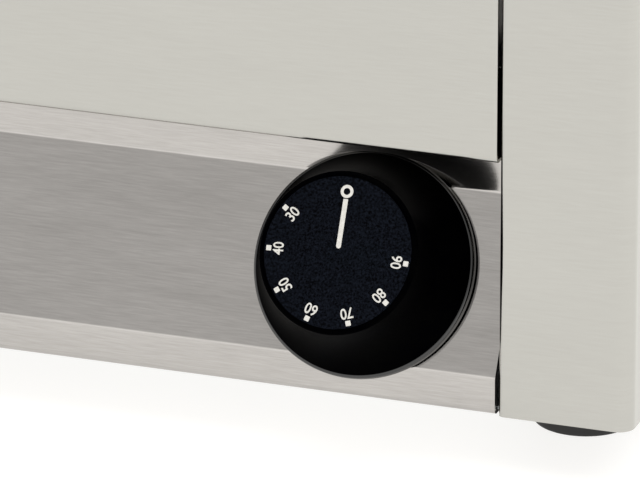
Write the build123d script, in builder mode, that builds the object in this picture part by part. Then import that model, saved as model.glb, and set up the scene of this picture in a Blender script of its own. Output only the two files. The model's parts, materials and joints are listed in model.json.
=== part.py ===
"""Countertop wet-well bain-marie for one full-size gastronorm pan.

Frame: +X to the right, -Y towards the user, +Z up. The origin is on the worktop,
under the middle of the whole object. All sizes are in millimetres.
"""

from build123d import *
from math import atan2, cos, degrees, hypot, sin
import os

os.makedirs("parts", exist_ok=True)

# Casing
case_width = 355.0
case_depth = 590.0
total_height = 255.0
foot_height = 18.0
foot_radius = 17.0
foot_inset_x = 30.0
foot_inset_y = 50.0
foot_taper = 3.0
foot_hollow_radius = 9.0
foot_hollow_depth = 2.5
foot_screw_grip = 9.0
sheet = 1.0
fit = 0.15
fold_radius = 2.0
screw_radius = 2.0
screw_head_radius = 3.5
screw_head_height = 2.2
screw_head_taper = 12.0
screw_grip = 4.0
hexagon_crown_share = 0.96
hexagon_crown_angle = 60.0
base_screw_shares = (-0.3, 0.0, 0.36)
rear_screw_shares = (0.12, 0.5, 0.84)
front_screw_shares = (-0.8, 0.0, 0.8)
front_screw_inset = 14.4

# Corner posts, folded from the side panels
post_width = 42.0
post_return = 30.0
post_bend = 5.0
post_proud = 0.5
rear_flange = 14.0
bottom_flange = 12.0

# Front, from the worktop up: strip, sloping panel, recess wall, apron
panel_gap = 1.0
strip_height = 12.0
slope_rise = 50.0
slope_run = 26.0
recess_opening = 19.0
recess_wall_height = 40.0
strip_flange = 24.0
apron_flange = 12.0

# Deck and well
deck_skirt = 22.0
deck_corner = 6.0
well_end_margin = 42.5
well_side_margin = 25.0
well_depth = 150.0
well_corner = 45.0
well_floor_radius = 15.0
well_flange = 10.0
drain_flange = 13.0
drain_flange_height = 1.5
drain_spigot = 8.0
rim_bead_width = 7.0
rim_bead_height = 3.0

# Knob and thermostat
knob_offset = 46.8
knob_rise = 1.0
knob_radius = 35.0
knob_standoff = 4.5
knob_height = 25.5
knob_face_radius = 25.0
knob_rim_height = 1.4
knob_rim_step = 0.9
knob_wall = 2.2
knob_edge = 1.0
knob_flare = 1.6
dial_radius = 23.2
dial_thickness = 0.6
hub_radius = 6.5
shaft_radius = 3.0
shaft_flat = 1.0
shaft_slack = 0.05
thermostat_size = 34.0
thermostat_depth = 24.0
thermostat_corner = 4.0
thermostat_bush_radius = 5.0
thermostat_bush_height = 4.0
shaft_depth = 6.0
thermostat_screw_spacing = 28.0

# Heater in the well
heater_tube_radius = 4.1
heater_clearance = 9.0
heater_spacing = 60.0
heater_runs = 4
heater_front_inset = 55.0
heater_rear_inset = 80.0
heater_leg_drop = 14.0
gland_radius = 10.0
gland_flange = 3.0
gland_nut_height = 5.0
support_width = 12.0
support_shares = (0.35, 0.75)
bulb_radius = 3.0
bulb_length = 90.0
bulb_gland_gap = 18.0
bulb_gland_radius = 7.0
capillary_radius = 1.0
capillary_exit = 15.0
capillary_step = 10.0

# Drain
drain_radius = 8.0
drain_bore = 6.5
outlet_bore = 7.0
drain_inset = 45.0
drain_bend = 22.0
drain_straight = 12.0
drain_reach = 14.0
drain_offset = -60.0
drain_locknut_across = 24.0
drain_locknut_height = 5.0
valve_length = 46.0
valve_radius = 13.0
valve_ball_radius = 9.0
valve_ball_flat = 8.1
valve_gap = 0.3
valve_socket = 10.0
nozzle_length = 18.0
nozzle_neck = 3.0
nozzle_radius = 8.5
nozzle_root_radius = 7.5
nozzle_barbs = 3
lever_length = 58.0
lever_width = 11.0
lever_thickness = 2.5
lever_nut_across = 11.0
grip_start = 20.3
stem_radius = 3.5
stem_rise = 9.0

# Electrical inlet, earth stud and overheat cut-out on the rear panel
rear_row_height = 52.0
inlet_inset = 72.5
inlet_bore = 5.0
inlet_radius = 8.0
inlet_across = 20.0
inlet_hex_height = 5.5
inlet_dome_radius = 9.8
inlet_dome_round = 3.4
gland_locknut_across = 22.0
inlet_reach = 16.0
stud_spacing = 45.0
stud_radius = 3.0
stud_shoulder_radius = 4.0
stud_reach = 15.0
earth_nut_across = 12.0
cutout_spacing = 40.0
cutout_radius = 15.0
cutout_depth = 12.0
cutout_bush_radius = 5.0
cutout_bush_reach = 5.0
cutout_nut_across = 14.0
button_radius = 2.5
button_reach = 3.0
button_travel = 1.5

# Vents
slot_length = 34.0
slot_width = 4.0
slot_pitch = 10.0
slot_count = 6
base_slot_spacing = 68.0
rear_slot_spacing = 51.0
rear_slot_drop = 88.0

# Terminal block and wiring on the base plate
block_length = 42.0
block_depth = 20.0
block_height = 12.0
block_step = 2.0
block_poles = 4
block_screw_radius = 1.6
loom_radius = 3.5
loom_exit = 10.0

# Derived places
slope = atan2(slope_run, slope_rise)
slope_length = hypot(slope_run, slope_rise)
knob_top = knob_standoff + knob_height
knob_reach = (
    (knob_top - knob_edge) * cos(slope)
    + (knob_face_radius - knob_edge) * sin(slope)
    + knob_edge
    - slope_run / 2
    - knob_rise * sin(slope)
    - post_proud
)
rear_reach = drain_reach - valve_socket + valve_length + nozzle_length
y_front = -(case_depth + knob_reach + rear_reach) / 2 + knob_reach
y_rear = y_front + case_depth
y_panel = y_front + post_proud
half_width = case_width / 2
x_post = half_width - post_width
x_panel = x_post - panel_gap
z_base = foot_height
z_strip_top = z_base + strip_height
z_slope_top = z_strip_top + slope_rise
z_apron = z_slope_top + recess_opening
z_deck = total_height - rim_bead_height - sheet
z_tray = z_base + sheet + fit
y_middle = (y_front + y_rear) / 2
y_rear_panel = y_rear - sheet - fit
well_length = case_depth - 2 * well_end_margin
well_width = case_width - 2 * well_side_margin
z_well_floor = z_deck - well_depth
z_well_under = z_well_floor - sheet
heater_run = well_length - heater_front_inset - heater_rear_inset
drain_height = z_well_under - drain_spigot - drain_straight - drain_bend
inlet_offset = half_width - inlet_inset
stud_offset = inlet_offset - stud_spacing
cutout_offset = stud_offset - cutout_spacing
y_knob = y_panel + slope_run / 2 + knob_rise * sin(slope)
z_knob = z_strip_top + slope_rise / 2 + knob_rise * cos(slope)
y_well_front = y_middle - well_length / 2
x_knob = x_post - knob_offset
panel_plane = Plane(
    origin=(x_knob, y_knob, z_knob),
    x_dir=(1, 0, 0),
    z_dir=(0, -cos(slope), sin(slope)),
)


def save(part, name):
    """Names one finished piece and writes it as its own file."""
    part.label = name
    export_step(part, f"parts/{name}.step")


def screws(planes, length):
    """One solid screw on each plane: head above it, shank below it."""
    with BuildPart() as group:
        for plane in planes:
            with BuildSketch(plane):
                Circle(screw_head_radius)
            extrude(amount=screw_head_height, taper=screw_head_taper)
            with BuildSketch(plane):
                Circle(screw_radius)
            extrude(amount=-length)
    return group.part


def crowned_hexagon(plane, across, height):
    """A hexagon that stands on a plane, with the corners of both its faces turned off."""
    with BuildPart() as hexagon:
        with BuildSketch(plane):
            RegularPolygon(across / 2, 6, major_radius=False)
        extrude(amount=height)
        for face, way in ((plane, height), (plane.offset(height), -height)):
            with BuildSketch(face):
                Circle(across / 2 * hexagon_crown_share)
            extrude(amount=way, taper=-hexagon_crown_angle, mode=Mode.INTERSECT)
    return hexagon.part


def hex_nut(plane, across, height, bore):
    """A hexagon nut that stands on a plane, with its round bore."""
    with BuildPart() as nut:
        add(crowned_hexagon(plane, across, height))
        with BuildSketch(plane):
            Circle(bore)
        extrude(amount=height, mode=Mode.SUBTRACT)
    return nut.part


def folded_sheet(plane, points, radii, side=Side.LEFT):
    """The section of a folded sheet on a plane, from the corners of one of its faces."""
    with BuildSketch(plane) as section:
        with BuildLine():
            FilletPolyline(*points, radius=radii)
            offset(amount=sheet, side=side)
        make_face()
    return section.sketch


# Side panels: wall, rounded front post and its return, rear flange, bottom flange
def side_panel(hand):
    """One side panel, with hand 1 for the right one and -1 for the left one."""
    with BuildPart() as panel:
        section = folded_sheet(
            Plane.XY.offset(z_base),
            [
                (hand * x_post, y_front + post_return),
                (hand * x_post, y_front),
                (hand * half_width, y_front),
                (hand * half_width, y_rear),
                (hand * (half_width - rear_flange), y_rear),
            ],
            [fold_radius, post_bend, post_bend],
            Side.LEFT if hand > 0 else Side.RIGHT,
        )
        extrude(section, amount=z_deck - z_base)
        flange_front = y_front + post_return + foot_inset_y / 2
        flange_rear = y_rear - rear_flange
        with BuildSketch(Plane.XY.offset(z_base)):
            with Locations(
                (
                    hand * (half_width - sheet / 2 - bottom_flange / 2),
                    (flange_front + flange_rear) / 2,
                )
            ):
                Rectangle(bottom_flange + sheet / 2, flange_rear - flange_front)
        extrude(amount=sheet)
        with Locations(*base_screw_places(hand)):
            Hole(screw_radius + fit, depth=2 * sheet)
        with Locations(*rear_screw_planes(hand)):
            Hole(screw_radius + fit, depth=2 * sheet)
    return panel.part


def base_screw_places(hand):
    """Where the screws go up through one side panel's bottom flange."""
    x = hand * (half_width - bottom_flange / 2 - sheet / 2)
    return [
        (x, y_middle + share * case_depth, z_base + sheet) for share in base_screw_shares
    ]


def rear_screw_places(hand):
    """Where the screws go through one side panel's rear flange."""
    x = hand * (half_width - rear_flange / 2)
    height = z_deck - z_base
    return [(x, y_rear, z_base + share * height) for share in rear_screw_shares]


def rear_screw_planes(hand):
    """Planes on the rear flange's outer face that look backwards, one for each screw."""
    return [
        Plane(place, x_dir=(1, 0, 0), z_dir=(0, 1, 0)) for place in rear_screw_places(hand)
    ]


save(side_panel(-1), "left_side_panel")
save(side_panel(1), "right_side_panel")

# Front apron: top flange under the deck, upright face, flange back to the recess wall
with BuildPart() as front_apron:
    section = folded_sheet(
        Plane.YZ.offset(-x_panel),
        [
            (y_panel + apron_flange, z_deck),
            (y_panel, z_deck),
            (y_panel, z_apron),
            (y_panel + slope_run - fit, z_apron),
        ],
        [fold_radius, fold_radius],
    )
    extrude(section, amount=2 * x_panel)
save(front_apron.part, "front_apron")

front_screw_places = [
    (share * x_panel, y_panel + front_screw_inset, z_base + sheet) for share in front_screw_shares
]

# Control panel: bottom flange, strip, slope for the knob, recess wall behind the apron
with BuildPart() as control_panel:
    section = folded_sheet(
        Plane.YZ.offset(-x_panel),
        [
            (y_panel + strip_flange, z_base),
            (y_panel, z_base),
            (y_panel, z_strip_top),
            (y_panel + slope_run, z_slope_top),
            (y_panel + slope_run, z_slope_top + recess_wall_height),
        ],
        [fold_radius, fold_radius, fold_radius],
        Side.RIGHT,
    )
    extrude(section, amount=2 * x_panel)
    with Locations(panel_plane):
        Hole(thermostat_bush_radius + fit, depth=2 * sheet)
        with GridLocations(thermostat_screw_spacing, 0, 2, 1):
            Hole(screw_radius + fit, depth=2 * sheet)
    with Locations(*front_screw_places):
        Hole(screw_radius + fit, depth=2 * sheet)
save(control_panel.part, "control_panel")

# Base plate: a tray with vents, a tongue between the posts and turned-up sides
tray_half_width = half_width - sheet - fit
tray_front = y_front + post_return + fit
tray_rear = y_rear - post_bend
foot_places = {
    "foot_front_left": (-half_width + foot_inset_x, y_front + foot_inset_y),
    "foot_front_right": (half_width - foot_inset_x, y_front + foot_inset_y),
    "foot_rear_left": (-half_width + foot_inset_x, y_rear - foot_inset_y),
    "foot_rear_right": (half_width - foot_inset_x, y_rear - foot_inset_y),
}
with BuildPart() as base_plate:
    with BuildSketch(Plane.XY.offset(z_tray)):
        with Locations((0, (tray_front + tray_rear) / 2)):
            Rectangle(2 * tray_half_width, tray_rear - tray_front)
        with Locations((0, tray_front)):
            Rectangle(2 * (x_post - fit), 2 * (post_return - fold_radius - sheet))
        with Locations((0, y_middle)):
            with GridLocations(base_slot_spacing, slot_pitch, 3, 2 * slot_count):
                SlotOverall(slot_length, slot_width, mode=Mode.SUBTRACT)
        with Locations(*foot_places.values()):
            Circle(screw_radius + fit, mode=Mode.SUBTRACT)
    extrude(amount=sheet)
    for hand in (-1, 1):
        with BuildSketch(Plane.XY.offset(z_tray)):
            with Locations((hand * (tray_half_width - sheet / 2), (tray_front + tray_rear) / 2)):
                Rectangle(sheet, tray_rear - tray_front)
        extrude(amount=bottom_flange)
        with Locations(*base_screw_places(hand)):
            Hole(screw_radius + fit, depth=4 * sheet)
    with Locations(*front_screw_places):
        Hole(screw_radius + fit, depth=4 * sheet)
save(base_plate.part, "base_plate")

# Rear panel: vents and the holes for what comes out of the back
with BuildPart() as rear_panel:
    with BuildSketch(Plane.XZ.offset(-y_rear_panel)):
        with Locations((0, (z_tray + z_deck) / 2)):
            Rectangle(2 * (half_width - post_bend), z_deck - z_tray)
        with Locations((0, z_deck - rear_slot_drop)):
            with GridLocations(rear_slot_spacing, slot_pitch, 4, slot_count):
                SlotOverall(slot_length, slot_width, mode=Mode.SUBTRACT)
        with Locations((drain_offset, drain_height)):
            Circle(drain_radius + fit, mode=Mode.SUBTRACT)
        with Locations((inlet_offset, rear_row_height)):
            Circle(inlet_radius + fit, mode=Mode.SUBTRACT)
        with Locations((stud_offset, rear_row_height)):
            Circle(stud_shoulder_radius + fit, mode=Mode.SUBTRACT)
        with Locations((cutout_offset, rear_row_height)):
            Circle(cutout_bush_radius + fit, mode=Mode.SUBTRACT)
        for hand in (-1, 1):
            for x, _, z in rear_screw_places(hand):
                with Locations((x, z)):
                    Circle(screw_radius + fit, mode=Mode.SUBTRACT)
    extrude(amount=sheet)
save(rear_panel.part, "rear_panel")

# Top deck: skirt all round, pressed bead round the well opening
deck_width = case_width + 2 * (sheet + fit)
deck_depth = case_depth + 2 * (sheet + fit)
deck_top = z_deck + sheet
with BuildPart() as top_deck:
    with BuildSketch(Plane.XY.offset(deck_top)):
        with Locations((0, y_middle)):
            RectangleRounded(deck_width, deck_depth, deck_corner)
    extrude(amount=-sheet - deck_skirt)
    fillet(top_deck.faces().sort_by(Axis.Z)[-1].edges(), fold_radius)
    with BuildSketch(Plane.XY.offset(z_deck)):
        with Locations((0, y_middle)):
            RectangleRounded(
                deck_width - 2 * sheet, deck_depth - 2 * sheet, deck_corner - sheet
            )
    extrude(amount=-deck_skirt, mode=Mode.SUBTRACT)
    with BuildSketch(Plane.XY.offset(z_deck)):
        with Locations((0, y_middle)):
            RectangleRounded(
                well_width + 2 * rim_bead_width,
                well_length + 2 * rim_bead_width,
                well_corner + rim_bead_width,
            )
    extrude(amount=sheet + rim_bead_height)
    fillet(
        top_deck.faces().sort_by(Axis.Z)[-1].edges(), rim_bead_height - sheet / 2
    )
    with BuildSketch(Plane.XY.offset(z_deck)):
        with Locations((0, y_middle)):
            RectangleRounded(well_width, well_length, well_corner)
    extrude(amount=sheet + rim_bead_height, mode=Mode.SUBTRACT)
    fillet(
        top_deck.faces().sort_by(Axis.Z)[-1].inner_wires()[0].edges(), sheet / 2
    )
save(top_deck.part, "top_deck")

# Well: a drawn tank with a flange welded under the deck
y_drain = y_middle + well_length / 2 - drain_inset
x_leg = (heater_runs - 1) * heater_spacing / 2
y_leg = y_well_front + heater_front_inset
y_bulb_gland = y_leg + heater_spacing + bulb_gland_gap
with BuildPart() as well_tank:
    with BuildSketch(Plane.XY.offset(z_well_under)):
        with Locations((0, y_middle)):
            RectangleRounded(
                well_width + 2 * sheet, well_length + 2 * sheet, well_corner + sheet
            )
    extrude(amount=z_deck - z_well_under)
    fillet(well_tank.faces().sort_by(Axis.Z)[0].edges(), well_floor_radius + sheet)
    offset(amount=-sheet, openings=well_tank.faces().sort_by(Axis.Z)[-1])
    with BuildSketch(Plane.XY.offset(z_deck)):
        with Locations((0, y_middle)):
            RectangleRounded(
                well_width + 2 * well_flange,
                well_length + 2 * well_flange,
                well_corner + well_flange,
            )
            RectangleRounded(well_width, well_length, well_corner, mode=Mode.SUBTRACT)
    extrude(amount=-sheet)
    with Locations((drain_offset, y_drain, z_well_floor)):
        Hole(drain_radius + fit, depth=2 * sheet)
    with Locations((-x_leg, y_leg, z_well_floor), (x_leg, y_leg, z_well_floor)):
        Hole(heater_tube_radius + sheet, depth=2 * sheet)
    with Locations((0, y_bulb_gland, z_well_floor)):
        Hole(bulb_radius, depth=2 * sheet)
save(well_tank.part, "well_tank")

# Heating element: one sheathed tube bent into four runs above the well floor
z_heater = z_well_floor + heater_clearance + heater_tube_radius
z_leg_end = z_well_under - gland_nut_height - heater_leg_drop
bend = heater_spacing / 2 - sheet
heater_path = [(-x_leg, y_leg, z_leg_end), (-x_leg, y_leg, z_heater)]
y_far = y_leg + heater_run
y_near = y_leg + heater_spacing
for gap in range(heater_runs - 1):
    y_turn = y_far if gap % 2 == 0 else y_near
    x_run = -x_leg + gap * heater_spacing
    heater_path += [(x_run, y_turn, z_heater), (x_run + heater_spacing, y_turn, z_heater)]
heater_path += [(x_leg, y_leg, z_heater), (x_leg, y_leg, z_leg_end)]
leg_bend = z_heater - z_well_floor - gland_flange
heater_radii = [leg_bend] + [bend] * (len(heater_path) - 4) + [leg_bend]
with BuildPart() as heating_element:
    with BuildLine() as heater_line:
        FilletPolyline(*heater_path, radius=heater_radii)
    with BuildSketch(Plane(origin=heater_path[0], z_dir=(0, 0, 1))):
        Circle(heater_tube_radius)
    sweep()
save(heating_element.part, "heating_element")

# Glands that seal the element's two legs in the well floor, each a bush and a nut
with BuildPart() as heater_glands:
    with Locations((-x_leg, y_leg, z_well_floor), (x_leg, y_leg, z_well_floor)):
        Cylinder(gland_radius, gland_flange, align=(Align.CENTER, Align.CENTER, Align.MIN))
    with BuildSketch(Plane.XY.offset(z_well_under)):
        with Locations((-x_leg, y_leg), (x_leg, y_leg)):
            RegularPolygon(gland_radius, 6)
    extrude(amount=-gland_nut_height)
    z_gland = z_well_floor + gland_flange
    with Locations((-x_leg, y_leg, z_gland), (x_leg, y_leg, z_gland)):
        Hole(heater_tube_radius + fit, depth=2 * (gland_flange + gland_nut_height))
save(heater_glands.part, "heater_glands")

# Notched supports that carry the element and the thermostat bulb off the well floor
y_supports = [y_leg + share * heater_run for share in support_shares]
support_length = 2 * x_leg + 4 * heater_tube_radius
with BuildPart() as heater_supports:
    with BuildSketch(Plane.XY.offset(z_well_floor)):
        with Locations(*[(0, y) for y in y_supports]):
            Rectangle(support_length, support_width)
    extrude(amount=z_heater - z_well_floor)
    for y in y_supports:
        with BuildSketch(Plane.XZ.offset(-y)):
            with Locations((0, z_heater)):
                with GridLocations(heater_spacing, 0, heater_runs, 1):
                    Circle(heater_tube_radius + fit)
                Circle(bulb_radius + fit)
        extrude(amount=support_width, both=True, mode=Mode.SUBTRACT)
save(heater_supports.part, "heater_supports")

# Feet, each a tapered rubber foot with a hollow sole, and the screws that hold them
for name, (x, y) in foot_places.items():
    with BuildPart() as foot:
        with BuildSketch(Plane.XY.offset(z_tray)):
            with Locations((x, y)):
                Circle(foot_radius)
        extrude(amount=-z_tray, taper=foot_taper)
        fillet(foot.edges().filter_by(GeomType.CIRCLE).sort_by(Axis.Z)[0], sheet)
        with BuildSketch(Plane.XY):
            with Locations((x, y)):
                Circle(foot_hollow_radius)
        extrude(amount=foot_hollow_depth, taper=foot_taper, mode=Mode.SUBTRACT)
        with Locations((x, y, z_tray)):
            Hole(screw_radius + fit, depth=foot_screw_grip + fit)
    save(foot.part, name)
foot_screw_planes = [Plane((x, y, z_tray + sheet)) for x, y in foot_places.values()]
save(screws(foot_screw_planes, sheet + foot_screw_grip), "foot_screws")

# Screws of the casing: up through the base, and into the rear flanges
base_planes = [
    Plane((x, y, z_base), z_dir=(0, 0, -1))
    for hand in (-1, 1)
    for x, y, _ in base_screw_places(hand)
]
save(screws(base_planes, screw_grip), "base_screws")
front_planes = [Plane((x, y, z_base), z_dir=(0, 0, -1)) for x, y, _ in front_screw_places]
save(screws(front_planes, screw_grip), "front_screws")
rear_planes = rear_screw_planes(-1) + rear_screw_planes(1)
save(screws(rear_planes, screw_grip), "rear_screws")

# Thermostat behind the slope: case with a threaded bush through the panel
with BuildPart() as thermostat_body:
    with BuildSketch(panel_plane.offset(-sheet)):
        RectangleRounded(thermostat_size, thermostat_size, thermostat_corner)
    extrude(amount=-thermostat_depth)
    fillet(
        thermostat_body.faces().sort_by(Axis(panel_plane.origin, panel_plane.z_dir))[0].edges(),
        thermostat_corner / 2,
    )
    with BuildSketch(panel_plane.offset(-sheet)):
        Circle(thermostat_bush_radius)
    extrude(amount=sheet + thermostat_bush_height)
    with Locations(panel_plane.offset(thermostat_bush_height)):
        Hole(shaft_radius + shaft_slack, depth=thermostat_bush_height + sheet + shaft_depth)
    with Locations(panel_plane.offset(-sheet)):
        with GridLocations(thermostat_screw_spacing, 0, 2, 1):
            Hole(screw_radius + fit, depth=screw_grip)
save(thermostat_body.part, "thermostat_body")
half_spacing = thermostat_screw_spacing / 2
thermostat_screw_planes = [
    Plane(panel_plane.from_local_coords(Vector(x, 0, 0)), panel_plane.x_dir, panel_plane.z_dir)
    for x in (-half_spacing, half_spacing)
]
save(screws(thermostat_screw_planes, screw_grip), "thermostat_screws")

# Shaft with a flat, turned by the knob
shaft_top = knob_top - dial_thickness - knob_wall
with BuildPart() as thermostat_shaft:
    with BuildSketch(panel_plane.offset(-sheet - shaft_depth + fit)):
        Circle(shaft_radius)
    extrude(amount=sheet + shaft_depth - fit + shaft_top)
    with BuildSketch(panel_plane.offset(thermostat_bush_height + sheet)):
        with Locations((0, shaft_radius)):
            Rectangle(2 * shaft_radius, 2 * shaft_flat)
    extrude(amount=shaft_top, mode=Mode.SUBTRACT)
save(thermostat_shaft.part, "thermostat_shaft")

# Knob: flared hollow skirt with a thin rim, flat face with a seat for the dial, hub
section_plane = Plane(panel_plane.origin, x_dir=panel_plane.x_dir, z_dir=-panel_plane.y_dir)
knob_axis = Axis(panel_plane.origin, panel_plane.z_dir)
rim_inner = knob_radius - knob_rim_step
rim_top = knob_standoff + knob_rim_height
with BuildPart() as control_knob:
    with BuildSketch(section_plane):
        with BuildLine():
            Polyline(
                (0, knob_top - dial_thickness),
                (dial_radius + fit, knob_top - dial_thickness),
                (dial_radius + fit, knob_top),
                (knob_face_radius - knob_edge, knob_top),
            )
            RadiusArc(
                (knob_face_radius - knob_edge, knob_top),
                (knob_face_radius, knob_top - knob_edge),
                knob_edge,
            )
            SagittaArc(
                (knob_face_radius, knob_top - knob_edge), (rim_inner, rim_top), -knob_flare
            )
            Polyline(
                (rim_inner, rim_top),
                (knob_radius, rim_top),
                (knob_radius, knob_standoff),
                (knob_radius - knob_wall, knob_standoff),
            )
            SagittaArc(
                (knob_radius - knob_wall, knob_standoff),
                (knob_face_radius - knob_wall, shaft_top),
                knob_flare,
            )
            Polyline(
                (knob_face_radius - knob_wall, shaft_top),
                (hub_radius, shaft_top),
                (hub_radius, knob_standoff + sheet),
                (0, knob_standoff + sheet),
                (0, knob_top - dial_thickness),
            )
        make_face()
    revolve(axis=knob_axis)
    with BuildSketch(panel_plane.offset(knob_standoff)):
        Circle(shaft_radius + shaft_slack)
        with Locations((0, shaft_radius + shaft_slack)):
            Rectangle(2 * shaft_radius, 2 * (shaft_flat - shaft_slack), mode=Mode.SUBTRACT)
    extrude(amount=shaft_top - knob_standoff, mode=Mode.SUBTRACT)
save(control_knob.part, "control_knob")

# Dial disc let into the knob's face
with BuildPart() as dial_disc:
    with BuildSketch(panel_plane.offset(knob_top - dial_thickness)):
        Circle(dial_radius)
    extrude(amount=dial_thickness)
save(dial_disc.part, "dial_disc")

# Thermostat bulb on the supports, its capillary, and the gland in the well floor
y_bulb = y_bulb_gland + bulb_gland_gap
with BuildPart() as thermostat_bulb:
    with BuildSketch(Plane.XZ.offset(-y_bulb)):
        with Locations((0, z_heater)):
            Circle(bulb_radius)
    extrude(amount=-bulb_length)
    fillet(thermostat_bulb.edges().filter_by(GeomType.CIRCLE), bulb_radius / 2)
save(thermostat_bulb.part, "thermostat_bulb")
capillary_start = panel_plane.from_local_coords(Vector(0, 0, -sheet - thermostat_depth))
capillary_turn = panel_plane.from_local_coords(
    Vector(0, 0, -sheet - thermostat_depth - capillary_exit)
)
z_capillary = (z_well_under + capillary_start.Z) / 2
capillary_path = [
    capillary_start,
    capillary_turn,
    Vector(x_knob, y_leg, z_capillary - capillary_step),
    Vector(x_knob / 2, y_bulb_gland - capillary_step, z_capillary),
    Vector(0, y_bulb_gland, z_capillary),
    Vector(0, y_bulb_gland, z_heater),
    Vector(0, y_bulb, z_heater),
]
with BuildPart() as capillary_tube:
    with BuildLine():
        FilletPolyline(*capillary_path, radius=leg_bend - sheet)
    with BuildSketch(Plane(capillary_start, z_dir=-panel_plane.z_dir)):
        Circle(capillary_radius)
    sweep()
save(capillary_tube.part, "capillary_tube")
with BuildPart() as bulb_gland:
    with Locations((0, y_bulb_gland, z_well_floor)):
        Cylinder(
            bulb_gland_radius, gland_flange, align=(Align.CENTER, Align.CENTER, Align.MIN)
        )
    with BuildSketch(Plane.XY.offset(z_well_under)):
        with Locations((0, y_bulb_gland)):
            RegularPolygon(bulb_gland_radius, 6)
    extrude(amount=-gland_nut_height)
    with Locations((0, y_bulb_gland, z_well_floor + gland_flange)):
        Hole(capillary_radius + fit, depth=2 * (gland_flange + gland_nut_height))
save(bulb_gland.part, "bulb_gland")

# Drain: strainer flange in the well floor, bent pipe through the rear panel, locknut
with BuildPart() as drain_outlet:
    with Locations((drain_offset, y_drain, z_well_floor)):
        Cylinder(
            drain_flange, drain_flange_height, align=(Align.CENTER, Align.CENTER, Align.MIN)
        )
        Cylinder(
            drain_radius,
            2 * (sheet + drain_spigot),
            align=(Align.CENTER, Align.CENTER, Align.CENTER),
        )
    with BuildSketch(Plane.XY.offset(z_well_floor + drain_flange_height)):
        with Locations((drain_offset, y_drain)):
            Circle(drain_flange + sheet)
    extrude(amount=drain_spigot + 2 * sheet, mode=Mode.SUBTRACT)
    with Locations((drain_offset, y_drain, z_well_floor + drain_flange_height)):
        Hole(outlet_bore, depth=2 * drain_spigot)
save(drain_outlet.part, "drain_outlet")
drain_path = [
    (drain_offset, y_drain, z_well_floor - sheet - drain_spigot),
    (drain_offset, y_drain, drain_height),
    (drain_offset, y_rear + drain_reach, drain_height),
]
with BuildPart() as drain_pipe:
    with BuildLine():
        FilletPolyline(*drain_path, radius=drain_bend)
    with BuildSketch(Plane(drain_path[0], z_dir=(0, 0, -1))):
        Circle(drain_radius)
        Circle(drain_bore, mode=Mode.SUBTRACT)
    sweep()
save(drain_pipe.part, "drain_pipe")
rear_face = Plane((drain_offset, y_rear_panel, drain_height), x_dir=(1, 0, 0), z_dir=(0, 1, 0))
drain_locknut = hex_nut(
    rear_face, drain_locknut_across, drain_locknut_height, drain_radius + fit
)
save(drain_locknut, "drain_locknut")

# Ball valve on the pipe's end
y_valve = y_rear + drain_reach - valve_socket
y_ball = y_valve + valve_length / 2
z_boss = drain_height + valve_radius + stem_rise / 2
valve_plane = Plane((drain_offset, y_valve, drain_height), x_dir=(1, 0, 0), z_dir=(0, 1, 0))
barb_pitch = (nozzle_length - nozzle_neck) / nozzle_barbs
barb_taper = degrees(atan2(nozzle_radius - nozzle_root_radius, barb_pitch))
with BuildPart() as valve_body:
    for start in (0, valve_length - valve_socket):
        add(crowned_hexagon(valve_plane.offset(start), 2 * valve_radius, valve_socket))
    with BuildSketch(valve_plane.offset(valve_socket / 2)):
        Circle(valve_radius)
    extrude(amount=valve_length - valve_socket)
    with BuildSketch(valve_plane.offset(valve_length)):
        Circle(nozzle_root_radius)
    extrude(amount=nozzle_neck)
    for barb in range(nozzle_barbs):
        with BuildSketch(valve_plane.offset(valve_length + nozzle_neck + barb * barb_pitch)):
            Circle(nozzle_radius)
        extrude(amount=barb_pitch, taper=barb_taper)
    with BuildSketch(Plane((drain_offset, y_ball, drain_height))):
        Circle(2 * stem_radius)
    extrude(amount=z_boss - drain_height)
    with Locations((drain_offset, y_ball, drain_height)):
        Sphere(valve_ball_radius + valve_gap, mode=Mode.SUBTRACT)
    with BuildSketch(Plane((drain_offset, y_ball, drain_height))):
        Circle(stem_radius + shaft_slack)
    extrude(amount=z_boss - drain_height, mode=Mode.SUBTRACT)
    with BuildSketch(valve_plane):
        Circle(drain_bore)
    extrude(amount=valve_length + nozzle_length, mode=Mode.SUBTRACT)
    with BuildSketch(valve_plane):
        Circle(drain_radius + fit)
    extrude(amount=valve_socket, mode=Mode.SUBTRACT)
save(valve_body.part, "valve_body")
with BuildPart() as valve_ball:
    with Locations((drain_offset, y_ball, drain_height)):
        Sphere(valve_ball_radius)
    with BuildSketch(Plane((drain_offset, y_ball, drain_height + valve_ball_flat))):
        Circle(valve_ball_radius)
    extrude(amount=valve_ball_radius, mode=Mode.SUBTRACT)
    with BuildSketch(Plane((drain_offset, y_ball, drain_height), z_dir=(1, 0, 0))):
        Circle(drain_bore)
    extrude(amount=valve_ball_radius, both=True, mode=Mode.SUBTRACT)
save(valve_ball.part, "valve_ball")
z_lever = z_boss + valve_gap
with BuildPart() as valve_stem:
    with BuildSketch(Plane((drain_offset, y_ball, drain_height + valve_ball_flat))):
        Circle(stem_radius)
    extrude(amount=z_lever + lever_thickness + stem_rise / 2 - drain_height - valve_ball_flat)
save(valve_stem.part, "valve_stem")

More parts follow.
